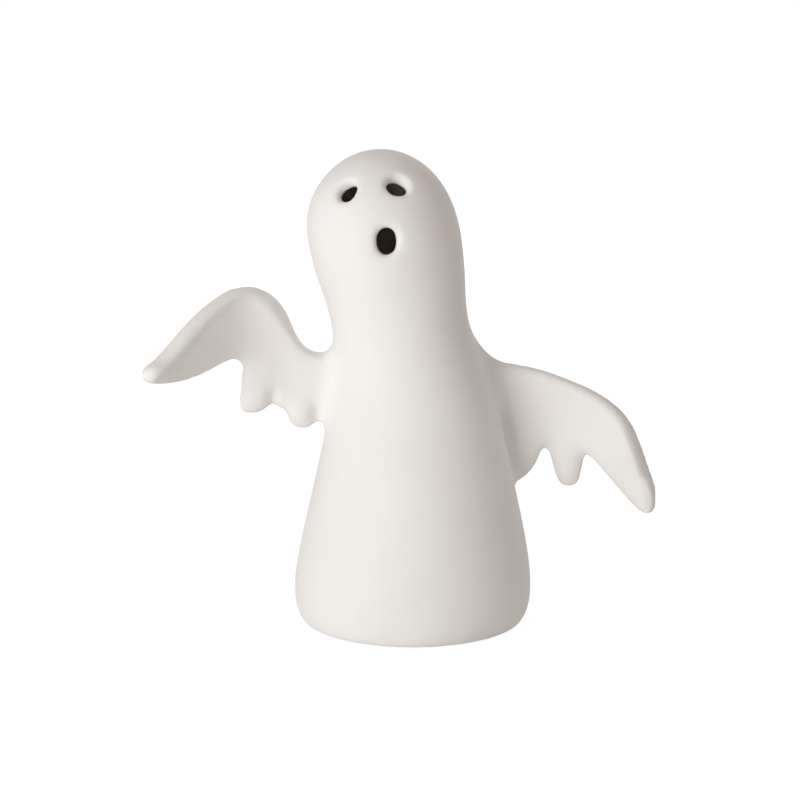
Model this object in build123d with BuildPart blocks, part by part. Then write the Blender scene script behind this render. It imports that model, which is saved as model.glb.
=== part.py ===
from build123d import *
import os
from math import copysign, cos, radians, sin

os.makedirs("parts", exist_ok=True)

# Hollow ceramic ghost with two luted arms and a battery light that plugs into its foot.
# Millimetres. The table is z = 0, the face looks along -Y and z points up.

# Body: level round sections on a centre line that leans to the raised arm's side, up to a round crown.
# Heights are from the table and drops are from the head's widest level, which hangs below the crown.
HEIGHT = 180.0
WALL = 4.5
FLOOR = 7.5
FOOT_RADIUS = 41.8
RIM_HEIGHT = 5.5
RIM_RADIUS = 44.5
HEM_HEIGHT = 14.0
HEM_RADIUS = 45.4
BELLY_HEIGHT = 34.0
BELLY_RADIUS = 42.6
WAIST_HEIGHT = 62.0
WAIST_RADIUS = 36.4
CHEST_DROP = 55.5
CHEST_RADIUS = 29.7
NECK_DROP = 30.5
NECK_RADIUS = 26.1
CHEEK_DROP = 14.5
CHEEK_RADIUS = 27.9
CROWN_RISE = 32.5
HEAD_RADIUS = 28.8
CROWN_ANGLES = (18, 36, 52, 66, 78)
RING_POINTS = 12
LEAN = 12.6
LEAN_DROP = 73.5
LEAN_RISE = 18.5
FOOT_LEAN = 0.6
FOOT_LEAN_END = 54.0

# Face: each hole by its turn from the front, its rise from the head's widest level and its size.
# Ovals are squarer at a power below 1, more pointed above it and narrower at the far end with a taper.
LEFT_EYE = {
    "turn": -31.2, "rise": 34.8, "width": 7.6, "height": 6.6, "roll": 58.0,
    "power": 1.0, "taper": 0.22,
}
RIGHT_EYE = {
    "turn": 16.9, "rise": 38.5, "width": 7.8, "height": 6.6, "roll": -18.0,
    "power": 1.0, "taper": 0.1,
}
MOUTH = {
    "turn": 2.3, "rise": 1.3, "width": 7.1, "height": 9.7, "roll": 0.0,
    "power": 0.84, "taper": 0.0,
}
FACE_HOLE_EDGE = 1.4

# Arms: upright slices across a bent slab, each (outwards, forwards, bottom, top) from the chest's side,
# then the tip. Folds hang from the slab, each from its top to its tip.
ARM_THICKNESS = 9.0
RAISED_ARM_SLICES = (
    (-12, 2, -15, 14), (0, 2, -15, 13.4), (4, 2, -14, 11.8), (9, 2.4, -12, 13.3), (13, 3, -10.5, 18.2),
    (17, 3.6, -9.5, 27.5), (22, 4.9, -7, 34), (29, 7.7, 5, 37.5), (36, 12, 11.2, 37), (43, 18.5, 9.2, 33),
    (50, 26.5, 6.6, 26.8), (57, 35, 6, 18.7), (61, 40, 6.4, 14.4),
)
RAISED_ARM_TIP = (65.4, 45.4, 9.8)
RAISED_ARM_FOLDS = (
    {"top": (22, 5, 12), "tip": (30.2, 8.2, -10.4), "root": 24, "width": 13.8, "turn": 26, "round": 5},
    {"top": (11.5, 2.8, 4), "tip": (11, 2.8, -17.2), "root": 20, "width": 12.5, "turn": 6, "round": 5.5},
)
LOWERED_ARM_SLICES = (
    (-14, -8, -36, 24), (-6, -8, -38, 19.5), (-2, -8, -39, 14), (6, -7.6, -40.6, 7.6), (13, -7, -38.8, 5.8),
    (18, -6.2, -33.2, 4.6), (22, -5.4, -24.6, 3.6), (30, -3.6, -25, 0.8), (38, -0.6, -27.4, -2.4),
    (45, 3, -34.2, -6.4), (51, 7.5, -40.4, -12.6), (55, 11.5, -44.4, -22.2), (58, 14.5, -46.6, -31.5),
)
LOWERED_ARM_TIP = (60.8, 17.6, -42.7)
LOWERED_ARM_FOLDS = (
    {"top": (29.7, -3.7, -20), "tip": (30.9, -3.3, -41.2), "root": 18, "width": 10.2, "turn": 14, "round": 6},
)
TIP_ANGLES = (30, 55, 75)
SLAB_POWER = 0.45
SLICE_STEPS = 3
OVAL_POINTS = 16

# Felt dots under the foot
PAD_COUNT = 4
PAD_RADIUS = 4.5
PAD_THICKNESS = 0.6

# Floor hole that the light plugs into
SEAT_RADIUS = 23.0
FLANGE_RECESS = 3.0
FLANGE_GAP = 1.0
SLIDE_CLEARANCE = 0.08

# Light housing
FLANGE_RADIUS = 26.5
FLANGE_THICKNESS = 2.2
FINGER_NOTCH_WIDTH = 9.0
FINGER_NOTCH_DEPTH = 1.8
BARREL_RADIUS = 20.5
BARREL_WALL = 1.6
GRIP_HEIGHT = 5.0
GRIP_RIBS = 3
GRIP_RIB_HEIGHT = 0.8
GRIP_BAND = 1.5
SPIGOT_RADIUS = 19.8
SPIGOT_WALL = 1.4
SPIGOT_HEIGHT = 3.8
FIT_CLEARANCE = 0.15
CAP_WALL = 1.6
CAP_EDGE = 1.0
PART_ROOM = 4.0
COLLAR_HEIGHT = 2.0
COLLAR_WALL = 1.4

# Dome and lamp
DOME_RADIUS = 9.0
DOME_WALL = 1.2
DOME_STRAIGHT = 6.0
LAMP_RADIUS = 2.5
LAMP_LENGTH = 8.7
LAMP_FLANGE_RADIUS = 2.9
LAMP_FLANGE_HEIGHT = 1.0
LAMP_CLEARANCE = 0.2
LAMP_LEAD = 0.5
LAMP_LEAD_PITCH = 2.54

# Board and its parts
BOARD_THICKNESS = 1.6
BOARD_GAP = 0.3
CHIP_AT = (-9.0, 6.0)
CHIP_LENGTH = 5.0
CHIP_WIDTH = 4.0
CHIP_HEIGHT = 1.5
CHIP_STAND = 0.1
CHIP_LEGS = 4
CHIP_LEG_PITCH = 1.27
CHIP_LEG_WIDTH = 0.45
CHIP_LEG_REACH = 1.0
CHIP_LEG_THICKNESS = 0.3
RESISTOR_AT = (-9.0, -6.0)
RESISTOR_LENGTH = 4.0
RESISTOR_RADIUS = 1.0
RESISTOR_LEAD = 0.25
RESISTOR_SPAN = 7.6

# Coin cells, their pocket and their contacts
CELL_RADIUS = 10.0
CELL_THICKNESS = 3.2
CELL_STEP = 0.6
CELL_BUTTON_RADIUS = 8.6
CELL_PLAY = 0.4
POCKET_X = -5.4
POCKET_WALL = 1.2
CONTACT_GAP = 0.05
LEAF_WIDTH = 4.0
LEAF_THICKNESS = 0.3
LEAF_SPAN = 3.2
LEAF_FOOT = 1.6
STRIP_WIDTH = 4.0
STRIP_THICKNESS = 0.4
STRIP_BEND = 2.4
STRIP_LIP = 0.5

# Twist-lock door of the cell pocket
DOOR_PLATE = 1.8
DOOR_SKIRT = 0.9
DOOR_SKIRT_HEIGHT = 1.4
DOOR_CLEARANCE = 0.2
LUG_COUNT = 3
LUG_ANGLE = 24.0
LUG_REACH = 1.0
LUG_HEIGHT = 1.0
LUG_ENTRY_TURN = -32.0
LUG_ENTRY_MARGIN = 4.0
LOCK_WALL = 1.4
LOCK_ROOF = 1.2
COIN_SLOT_LENGTH = 14.0
COIN_SLOT_WIDTH = 1.8
COIN_SLOT_DEPTH = 0.9

# Slide switch
SWITCH_X = 13.2
SWITCH_WIDTH = 4.4
SWITCH_LENGTH = 11.0
SWITCH_HEIGHT = 4.6
SLIDER_WIDTH = 2.0
SLIDER_LENGTH = 3.0
SLIDER_TRAVEL = 4.0
SLIDER_CLEARANCE = 0.15
SLIDER_PROUD = 0.5
SLIDER_HEAD_WIDTH = 3.0
SLIDER_HEAD_HEIGHT = 1.4
SWITCH_LIP = 0.9
PIN_SIZE = 0.6
PIN_PITCH = 2.5
PIN_STAND = 0.8
PIN_COUNT = 3

# Housing screws
SCREW_AT = ((9.2, 12.6), (9.2, -12.6))
SCREW_RADIUS = 1.1
SCREW_LENGTH = 9.4
SCREW_HEAD_RADIUS = 2.0
SCREW_HEAD_HEIGHT = 1.4
SCREW_SINK = 1.6
SCREW_CLEARANCE = 0.2
PILOT_CLEARANCE = 0.05
PILOT_SPARE = 0.8
BOSS_RADIUS = 2.4
BOSS_HEIGHT = 3.8
CROSS_LENGTH = 2.4
CROSS_WIDTH = 0.5
CROSS_DEPTH = 0.8

# Levels and radii that follow from the sizes above
HEAD_HEIGHT = HEIGHT - CROWN_RISE
CHEST_HEIGHT = HEAD_HEIGHT - CHEST_DROP
LEAN_START = HEAD_HEIGHT - LEAN_DROP
LEAN_END = HEAD_HEIGHT + LEAN_RISE
FLOOR_TOP = PAD_THICKNESS + FLOOR
RECESS_RADIUS = FLANGE_RADIUS + FLANGE_GAP
RIB_PITCH = (FLOOR - FLANGE_RECESS) / GRIP_RIBS
PAD_CIRCLE = (RECESS_RADIUS + FOOT_RADIUS) / 2
FLANGE_TOP = PAD_THICKNESS + FLANGE_RECESS
FLANGE_BOTTOM = FLANGE_TOP - FLANGE_THICKNESS
SHOULDER = FLANGE_TOP + GRIP_HEIGHT
SPIGOT_TOP = SHOULDER + SPIGOT_HEIGHT
BOARD_TOP = SPIGOT_TOP + BOARD_THICKNESS
CAP_INNER_RADIUS = SPIGOT_RADIUS + FIT_CLEARANCE
CAP_RADIUS = CAP_INNER_RADIUS + CAP_WALL
CAP_CEILING = BOARD_TOP + PART_ROOM
CAP_TOP = CAP_CEILING + CAP_WALL
COLLAR_RADIUS = DOME_RADIUS + FIT_CLEARANCE
POCKET_RADIUS = CELL_RADIUS + CELL_PLAY
DOOR_RADIUS = POCKET_RADIUS + DOOR_SKIRT
DOOR_TOP = FLANGE_BOTTOM + DOOR_PLATE
LUG_RADIUS = DOOR_RADIUS + LUG_REACH
LUG_BOTTOM = DOOR_TOP + DOOR_SKIRT_HEIGHT - LUG_HEIGHT
LOCK_FLOOR = LUG_BOTTOM - DOOR_CLEARANCE
LOCK_RADIUS = LUG_RADIUS + DOOR_CLEARANCE
LOCK_TOP = DOOR_TOP + DOOR_SKIRT_HEIGHT + DOOR_CLEARANCE
POCKET_TOP = SPIGOT_TOP - BOARD_GAP
LOWER_CELL_BOTTOM = DOOR_TOP + CONTACT_GAP
UPPER_CELL_BOTTOM = LOWER_CELL_BOTTOM + CELL_THICKNESS
CELLS_TOP = UPPER_CELL_BOTTOM + CELL_THICKNESS
STRIP_WINDOW = LOCK_RADIUS + LOCK_WALL
STRIP_TOUCH = LOCK_TOP + STRIP_LIP + FIT_CLEARANCE
STRIP_Y = POCKET_RADIUS + POCKET_WALL + FIT_CLEARANCE + STRIP_THICKNESS / 2
SCREW_SEAT = FLANGE_BOTTOM + SCREW_SINK
BOSS_TOP = FLANGE_TOP + BOSS_HEIGHT
SLOT_LENGTH = SLIDER_LENGTH + SLIDER_TRAVEL + 2 * SLIDER_CLEARANCE
SLOT_WIDTH = SLIDER_WIDTH + 2 * SLIDER_CLEARANCE
SLIDER_REST = -SLIDER_TRAVEL / 2
HEAD_BOTTOM = FLANGE_TOP + SWITCH_LIP + SLIDER_CLEARANCE

BODY_SECTIONS = (
    (HEM_HEIGHT, HEM_RADIUS),
    (BELLY_HEIGHT, BELLY_RADIUS),
    (WAIST_HEIGHT, WAIST_RADIUS),
    (CHEST_HEIGHT, CHEST_RADIUS),
    (HEAD_HEIGHT - NECK_DROP, NECK_RADIUS),
    (HEAD_HEIGHT - CHEEK_DROP, CHEEK_RADIUS),
    (HEAD_HEIGHT, HEAD_RADIUS),
)


def lean(height):
    """Sideways place of the body's centre line at a height."""
    share = min(max((height - LEAN_START) / (LEAN_END - LEAN_START), 0), 1)
    foot = max(1 - height / FOOT_LEAN_END, 0)
    return -LEAN * (3 * share**2 - 2 * share**3) - FOOT_LEAN * (3 * foot**2 - 2 * foot**3)


def closed_curve(plane, points):
    """Flat face inside a smooth closed curve."""
    with BuildSketch(plane) as section:
        with BuildLine():
            Spline(*points, periodic=True)
        make_face()
    return section.sketch


def ring(height, radius):
    """One level, round section of the body."""
    angles = [radians(360 * step / RING_POINTS) for step in range(RING_POINTS)]
    points = [(lean(height) + radius * cos(angle), radius * sin(angle)) for angle in angles]
    return closed_curve(Plane.XY.offset(height), points)


def body_form(start, inset):
    """Sections of the body from its start sections to the crown, drawn in by the inset."""
    rise = CROWN_RISE - inset
    sections = [ring(height, radius) for height, radius in start]
    sections += [ring(height, radius - inset) for height, radius in BODY_SECTIONS]
    for angle in CROWN_ANGLES:
        height = HEAD_HEIGHT + rise * sin(radians(angle))
        sections.append(ring(height, (HEAD_RADIUS - inset) * cos(radians(angle))))
    sections.append(Vertex(lean(HEAD_HEIGHT + rise), 0, HEAD_HEIGHT + rise))
    return sections


def face_plane(hole):
    """Plane on the head's surface at a face hole, looking outwards."""
    turn = radians(hole["turn"])
    rise = radians(hole["rise"])
    height = HEAD_HEIGHT + CROWN_RISE * sin(rise)
    reach = HEAD_RADIUS * cos(rise)
    place = (lean(height) + reach * sin(turn), -reach * cos(turn), height)
    outwards = (cos(rise) * sin(turn), -cos(rise) * cos(turn), sin(rise) * HEAD_RADIUS / CROWN_RISE)
    level = Plane(origin=place, x_dir=(cos(turn), sin(turn), 0), z_dir=outwards)
    return Plane(level.location * Rotation(0, 0, hole["roll"]))


def arm_place(side, out, forward, up):
    """A place on an arm, measured from the side of the chest."""
    return Vector(lean(CHEST_HEIGHT) + side * (CHEST_RADIUS + out), -forward, CHEST_HEIGHT + up)


def oval(plane, length, width, power, taper=0):
    """Flat oval: squarer at a low power, narrower at its far end with a taper."""
    points = []
    for step in range(OVAL_POINTS):
        along = cos(radians(360 * step / OVAL_POINTS))
        side = sin(radians(360 * step / OVAL_POINTS))
        along = copysign(abs(along) ** power, along)
        side = copysign(abs(side) ** power, side) * (1 - taper * along)
        points.append((along * length / 2, side * width / 2))
    return closed_curve(plane, points)


def eased(slices):
    """The slices with others between them, on smooth curves through the given ones."""
    full = []
    for number, (start, end) in enumerate(zip(slices, slices[1:])):
        before = slices[max(number - 1, 0)]
        after = slices[min(number + 2, len(slices) - 1)]
        for step in range(SLICE_STEPS):
            share = step / SLICE_STEPS
            weights = (
                (2 * share**2 - share**3 - share) / 2,
                (2 - 5 * share**2 + 3 * share**3) / 2,
                (share + 4 * share**2 - 3 * share**3) / 2,
                (share**3 - share**2) / 2,
            )
            corners = zip(before, start, end, after)
            full.append([sum(weight * value for weight, value in zip(weights, four)) for four in corners])
    return [*full, slices[-1]]


def arm_form(side, given, tip):
    """Upright slices across an arm, each square to the way that the arm runs, to its round tip."""
    slices = eased(given)
    sections = []
    for number, (out, forward, bottom, top) in enumerate(slices):
        before = slices[max(number - 1, 0)]
        after = slices[min(number + 1, len(slices) - 1)]
        along = (side * (after[0] - before[0]), before[1] - after[1], 0)
        place = arm_place(side, out, forward, (bottom + top) / 2)
        sections.append(oval(Plane(place, (0, 0, 1), along), top - bottom, ARM_THICKNESS, SLAB_POWER))
    end = arm_place(side, *tip)
    for angle in TIP_ANGLES:
        middle = place + (end - place) * sin(radians(angle))
        share = cos(radians(angle))
        slice_plane = Plane(middle, (0, 0, 1), along)
        sections.append(oval(slice_plane, share * (top - bottom), share * ARM_THICKNESS, SLAB_POWER))
    sections.append(Vertex(*end))
    return sections


def fold_form(side, fold):
    """Level oval sections of a fold that hangs from an arm, down to its round tip."""
    top = arm_place(side, *fold["top"])
    tip = arm_place(side, *fold["tip"])
    levels = [(top.Z, fold["root"], ARM_THICKNESS)]
    for angle in (0, *TIP_ANGLES):
        level = tip.Z + fold["round"] * (1 - sin(radians(angle)))
        share = cos(radians(angle))
        levels.append((level, share * fold["width"], share * ARM_THICKNESS))
    sections = []
    for level, width, thickness in levels:
        centre = top + (tip - top) * ((level - top.Z) / (tip.Z - top.Z))
        with BuildSketch(at(centre.X, centre.Y, level)) as section:
            Ellipse(width / 2, thickness / 2, rotation=-side * fold["turn"])
        sections.append(section.sketch)
    sections.append(Vertex(*tip))
    return sections


def at(x, y, z):
    """Level plane at a place."""
    return Plane.XY.move(Location((x, y, z)))


def sector(plane, inner, outer, middle, size):
    """Part of a flat ring about the plane's origin."""
    with BuildSketch(plane) as piece:
        with BuildLine():
            far = CenterArc((0, 0), outer, middle - size / 2, size)
            near = CenterArc((0, 0), inner, middle - size / 2, size)
            Line(far @ 0, near @ 0)
            Line(far @ 1, near @ 1)
        make_face()
    return piece.sketch


# The body's outside, which the shell and both arms are made from
with BuildPart() as outside:
    loft(sections=body_form(((PAD_THICKNESS, FOOT_RADIUS), (RIM_HEIGHT, RIM_RADIUS)), 0))

with BuildPart() as body_shell:
    add(outside.part)
    loft(sections=body_form(((FLOOR_TOP, FOOT_RADIUS - WALL),), WALL), mode=Mode.SUBTRACT)
    with BuildSketch(Plane.XY.offset(PAD_THICKNESS)):
        Circle(SEAT_RADIUS)
    extrude(amount=FLOOR, mode=Mode.SUBTRACT)
    with BuildSketch(Plane.XY.offset(PAD_THICKNESS)):
        Circle(RECESS_RADIUS)
    extrude(amount=FLANGE_RECESS, mode=Mode.SUBTRACT)
    for hole in (LEFT_EYE, RIGHT_EYE, MOUTH):
        plane = face_plane(hole)
        outline = oval(plane.offset(WALL), hole["width"], hole["height"], hole["power"], hole["taper"])
        extrude(outline, amount=-3 * WALL, mode=Mode.SUBTRACT)
        rims = body_shell.edges(Select.LAST).sort_by(Axis(plane.origin, plane.z_dir))
        fillet(rims[-1], radius=FACE_HOLE_EDGE)
body_shell.part.label = "body_shell"
export_step(body_shell.part, "parts/body_shell.step")

with BuildPart() as raised_arm:
    loft(sections=arm_form(-1, RAISED_ARM_SLICES, RAISED_ARM_TIP), ruled=True)
    for fold in RAISED_ARM_FOLDS:
        loft(sections=fold_form(-1, fold), ruled=True)
    add(outside.part, mode=Mode.SUBTRACT)
raised_arm.part.label = "raised_arm"
export_step(raised_arm.part, "parts/raised_arm.step")

with BuildPart() as lowered_arm:
    loft(sections=arm_form(1, LOWERED_ARM_SLICES, LOWERED_ARM_TIP), ruled=True)
    for fold in LOWERED_ARM_FOLDS:
        loft(sections=fold_form(1, fold), ruled=True)
    add(outside.part, mode=Mode.SUBTRACT)
lowered_arm.part.label = "lowered_arm"
export_step(lowered_arm.part, "parts/lowered_arm.step")

with BuildPart() as foot_pads:
    with BuildSketch():
        with PolarLocations(PAD_CIRCLE, PAD_COUNT, start_angle=45):
            Circle(PAD_RADIUS)
    extrude(amount=PAD_THICKNESS)
foot_pads.part.label = "foot_pads"
export_step(foot_pads.part, "parts/foot_pads.step")

with BuildPart() as grip_ring:
    with BuildSketch(Plane.XY.offset(FLANGE_TOP)):
        Circle(BARREL_RADIUS + GRIP_BAND)
        Circle(BARREL_RADIUS + PILOT_CLEARANCE, mode=Mode.SUBTRACT)
    extrude(amount=GRIP_HEIGHT)
    for rib in range(GRIP_RIBS):
        with BuildSketch(Plane.XY.offset(FLANGE_TOP + (rib + 0.5) * RIB_PITCH - GRIP_RIB_HEIGHT / 2)):
            Circle(SEAT_RADIUS - SLIDE_CLEARANCE)
            Circle(BARREL_RADIUS + PILOT_CLEARANCE, mode=Mode.SUBTRACT)
        extrude(amount=GRIP_RIB_HEIGHT)
grip_ring.part.label = "grip_ring"
export_step(grip_ring.part, "parts/grip_ring.step")

with BuildPart() as light_base:
    # Flange, barrel and spigot
    with BuildSketch(Plane.XY.offset(FLANGE_BOTTOM)):
        Circle(FLANGE_RADIUS)
        with PolarLocations(FLANGE_RADIUS, 2, start_angle=90):
            Rectangle(2 * FINGER_NOTCH_DEPTH, FINGER_NOTCH_WIDTH, mode=Mode.SUBTRACT)
    extrude(amount=FLANGE_THICKNESS)
    with BuildSketch(Plane.XY.offset(FLANGE_TOP)):
        Circle(BARREL_RADIUS)
        Circle(BARREL_RADIUS - BARREL_WALL, mode=Mode.SUBTRACT)
    extrude(amount=GRIP_HEIGHT)
    with BuildSketch(Plane.XY.offset(FLANGE_TOP)):
        Circle(SPIGOT_RADIUS)
        Circle(SPIGOT_RADIUS - SPIGOT_WALL, mode=Mode.SUBTRACT)
    extrude(amount=GRIP_HEIGHT + SPIGOT_HEIGHT)
    # Lock collar, cell pocket and screw bosses
    with BuildSketch(at(POCKET_X, 0, FLANGE_TOP)):
        Circle(LOCK_RADIUS + LOCK_WALL)
    extrude(amount=LOCK_TOP + LOCK_ROOF - FLANGE_TOP)
    with BuildSketch(at(POCKET_X, 0, FLANGE_TOP)):
        Circle(POCKET_RADIUS + POCKET_WALL)
    extrude(amount=POCKET_TOP - FLANGE_TOP)
    with BuildSketch(Plane.XY.offset(FLANGE_TOP)):
        with Locations(*SCREW_AT):
            Circle(BOSS_RADIUS)
    extrude(amount=BOSS_HEIGHT)
    # Pocket, door opening and lock groove
    with BuildSketch(at(POCKET_X, 0, FLANGE_BOTTOM)):
        Circle(POCKET_RADIUS)
    extrude(amount=POCKET_TOP - FLANGE_BOTTOM, mode=Mode.SUBTRACT)
    with BuildSketch(at(POCKET_X, 0, FLANGE_BOTTOM)):
        Circle(DOOR_RADIUS + DOOR_CLEARANCE)
    extrude(amount=LOCK_TOP - FLANGE_BOTTOM, mode=Mode.SUBTRACT)
    with BuildSketch(at(POCKET_X, 0, LOCK_FLOOR)):
        Circle(LOCK_RADIUS)
    extrude(amount=LOCK_TOP - LOCK_FLOOR, mode=Mode.SUBTRACT)
    # Ways in for the door's lugs
    for lug in range(LUG_COUNT):
        middle = lug * 360 / LUG_COUNT + LUG_ENTRY_TURN
        size = LUG_ANGLE + 2 * LUG_ENTRY_MARGIN
        entry = sector(at(POCKET_X, 0, FLANGE_BOTTOM), DOOR_RADIUS, LOCK_RADIUS, middle, size)
        extrude(entry, amount=LOCK_TOP - FLANGE_BOTTOM, mode=Mode.SUBTRACT)
    # Window for the contact strip, switch slot and screw holes
    with BuildSketch(at(POCKET_X, STRIP_WINDOW / 2, LOCK_TOP)):
        Rectangle(STRIP_WIDTH + 2 * FIT_CLEARANCE, STRIP_WINDOW)
    extrude(amount=POCKET_TOP - LOCK_TOP, mode=Mode.SUBTRACT)
    with BuildSketch(at(SWITCH_X, 0, FLANGE_BOTTOM)):
        Rectangle(SLOT_WIDTH, SLOT_LENGTH)
    extrude(amount=FLANGE_THICKNESS, mode=Mode.SUBTRACT)
    with BuildSketch(Plane.XY.offset(FLANGE_BOTTOM)):
        with Locations(*SCREW_AT):
            Circle(SCREW_HEAD_RADIUS + SCREW_CLEARANCE)
    extrude(amount=SCREW_SINK, mode=Mode.SUBTRACT)
    with BuildSketch(Plane.XY.offset(SCREW_SEAT)):
        with Locations(*SCREW_AT):
            Circle(SCREW_RADIUS + SCREW_CLEARANCE)
    extrude(amount=BOSS_TOP - SCREW_SEAT, mode=Mode.SUBTRACT)
light_base.part.label = "light_base"
export_step(light_base.part, "parts/light_base.step")

with BuildPart() as light_cap:
    with BuildSketch(Plane.XY.offset(SHOULDER)):
        Circle(CAP_RADIUS)
    extrude(amount=CAP_TOP - SHOULDER)
    fillet(light_cap.edges().group_by(Axis.Z)[-1], radius=CAP_EDGE)
    with BuildSketch(Plane.XY.offset(SHOULDER)):
        Circle(CAP_INNER_RADIUS)
    extrude(amount=CAP_CEILING - SHOULDER, mode=Mode.SUBTRACT)
    # Rim that holds the board down, screw posts and the dome's collar
    with BuildSketch(Plane.XY.offset(BOARD_TOP + CONTACT_GAP)):
        Circle(CAP_INNER_RADIUS)
        Circle(SPIGOT_RADIUS - SPIGOT_WALL, mode=Mode.SUBTRACT)
    extrude(amount=PART_ROOM - CONTACT_GAP)
    with BuildSketch(Plane.XY.offset(BOSS_TOP)):
        with Locations(*SCREW_AT):
            Circle(BOSS_RADIUS)
    extrude(amount=CAP_CEILING - BOSS_TOP)
    with BuildSketch(Plane.XY.offset(CAP_TOP)):
        Circle(COLLAR_RADIUS + COLLAR_WALL)
        Circle(COLLAR_RADIUS, mode=Mode.SUBTRACT)
    extrude(amount=COLLAR_HEIGHT)
    # Pilot holes and the lamp's hole
    with BuildSketch(Plane.XY.offset(BOSS_TOP)):
        with Locations(*SCREW_AT):
            Circle(SCREW_RADIUS + PILOT_CLEARANCE)
    extrude(amount=SCREW_SEAT + SCREW_LENGTH + PILOT_SPARE - BOSS_TOP, mode=Mode.SUBTRACT)
    with BuildSketch(Plane.XY.offset(CAP_CEILING)):
        Circle(LAMP_RADIUS + LAMP_CLEARANCE)
    extrude(amount=CAP_WALL, mode=Mode.SUBTRACT)
light_cap.part.label = "light_cap"
export_step(light_cap.part, "parts/light_cap.step")

with BuildPart() as light_dome:
    with BuildSketch(Plane.XZ):
        with BuildLine():
            outer = CenterArc((0, CAP_TOP + DOME_STRAIGHT), DOME_RADIUS, 0, 90)
            inner = CenterArc((0, CAP_TOP + DOME_STRAIGHT), DOME_RADIUS - DOME_WALL, 0, 90)
            Line(outer @ 1, inner @ 1)
            Polyline(outer @ 0, (DOME_RADIUS, CAP_TOP), (DOME_RADIUS - DOME_WALL, CAP_TOP), inner @ 0)
        make_face()
    revolve(axis=Axis.Z)
light_dome.part.label = "light_dome"
export_step(light_dome.part, "parts/light_dome.step")

with BuildPart() as led_lamp:
    with BuildSketch(Plane.XY.offset(BOARD_TOP)):
        Circle(LAMP_FLANGE_RADIUS)
    extrude(amount=LAMP_FLANGE_HEIGHT)
    with BuildSketch(Plane.XY.offset(BOARD_TOP)):
        Circle(LAMP_RADIUS)
    extrude(amount=LAMP_LENGTH - LAMP_RADIUS)
    with Locations((0, 0, BOARD_TOP + LAMP_LENGTH - LAMP_RADIUS)):
        Sphere(LAMP_RADIUS)
    with BuildSketch(Plane.XY.offset(SPIGOT_TOP - PIN_STAND)):
        with GridLocations(0, LAMP_LEAD_PITCH, 1, 2):
            Rectangle(LAMP_LEAD, LAMP_LEAD)
    extrude(amount=BOARD_TOP + PIN_STAND - SPIGOT_TOP + PIN_STAND)
led_lamp.part.label = "led_lamp"
export_step(led_lamp.part, "parts/led_lamp.step")

with BuildPart() as circuit_board:
    with BuildSketch(Plane.XY.offset(SPIGOT_TOP)):
        Circle(SPIGOT_RADIUS)
        with Locations(*SCREW_AT):
            Circle(BOSS_RADIUS + FIT_CLEARANCE, mode=Mode.SUBTRACT)
        with Locations((SWITCH_X, 0)):
            with GridLocations(0, PIN_PITCH, 1, PIN_COUNT):
                Circle(PIN_SIZE, mode=Mode.SUBTRACT)
        with GridLocations(0, LAMP_LEAD_PITCH, 1, 2):
            Circle(LAMP_LEAD, mode=Mode.SUBTRACT)
    extrude(amount=BOARD_THICKNESS)
circuit_board.part.label = "circuit_board"
export_step(circuit_board.part, "parts/circuit_board.step")

with BuildPart() as timer_chip:
    with Locations((*CHIP_AT, BOARD_TOP + CHIP_STAND)):
        Box(CHIP_WIDTH, CHIP_LENGTH, CHIP_HEIGHT, align=(Align.CENTER, Align.CENTER, Align.MIN))
    with BuildSketch(at(*CHIP_AT, BOARD_TOP)):
        with GridLocations(0, CHIP_LEG_PITCH, 1, CHIP_LEGS):
            Rectangle(CHIP_WIDTH + 2 * CHIP_LEG_REACH, CHIP_LEG_WIDTH)
            Rectangle(CHIP_WIDTH, CHIP_LEG_WIDTH, mode=Mode.SUBTRACT)
    extrude(amount=CHIP_LEG_THICKNESS)
    with BuildSketch(at(*CHIP_AT, BOARD_TOP)):
        with GridLocations(0, CHIP_LEG_PITCH, 1, CHIP_LEGS):
            Rectangle(CHIP_WIDTH + 2 * CHIP_LEG_THICKNESS, CHIP_LEG_WIDTH)
            Rectangle(CHIP_WIDTH, CHIP_LEG_WIDTH, mode=Mode.SUBTRACT)
    extrude(amount=CHIP_STAND + CHIP_HEIGHT / 2)
timer_chip.part.label = "timer_chip"
export_step(timer_chip.part, "parts/timer_chip.step")

with BuildPart() as resistor:
    with Locations((*RESISTOR_AT, BOARD_TOP + RESISTOR_RADIUS)):
        Cylinder(RESISTOR_RADIUS, RESISTOR_LENGTH, rotation=(90, 0, 0))
        Cylinder(RESISTOR_LEAD, RESISTOR_SPAN, rotation=(90, 0, 0))
    with BuildSketch(at(*RESISTOR_AT, BOARD_TOP)):
        with GridLocations(0, RESISTOR_SPAN - 2 * RESISTOR_LEAD, 1, 2):
            Circle(RESISTOR_LEAD)
    extrude(amount=RESISTOR_RADIUS)
resistor.part.label = "resistor"
export_step(resistor.part, "parts/resistor.step")

with BuildPart() as switch_body:
    with BuildSketch(at(SWITCH_X, 0, FLANGE_TOP)):
        Rectangle(SWITCH_WIDTH, SWITCH_LENGTH)
    extrude(amount=SWITCH_HEIGHT)
    with BuildSketch(at(SWITCH_X, 0, FLANGE_TOP)):
        Rectangle(SLOT_WIDTH, SLOT_LENGTH)
    extrude(amount=SWITCH_LIP, mode=Mode.SUBTRACT)
    with BuildSketch(at(SWITCH_X, 0, FLANGE_TOP + SWITCH_LIP)):
        Rectangle(SLIDER_HEAD_WIDTH + 2 * SLIDER_CLEARANCE, SLOT_LENGTH)
    extrude(amount=SLIDER_HEAD_HEIGHT + 2 * SLIDER_CLEARANCE, mode=Mode.SUBTRACT)
    with BuildSketch(at(SWITCH_X, 0, FLANGE_TOP + SWITCH_HEIGHT)):
        with GridLocations(0, PIN_PITCH, 1, PIN_COUNT):
            Rectangle(PIN_SIZE, PIN_SIZE)
    extrude(amount=BOARD_TOP + PIN_STAND - FLANGE_TOP - SWITCH_HEIGHT)
switch_body.part.label = "switch_body"
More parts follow.
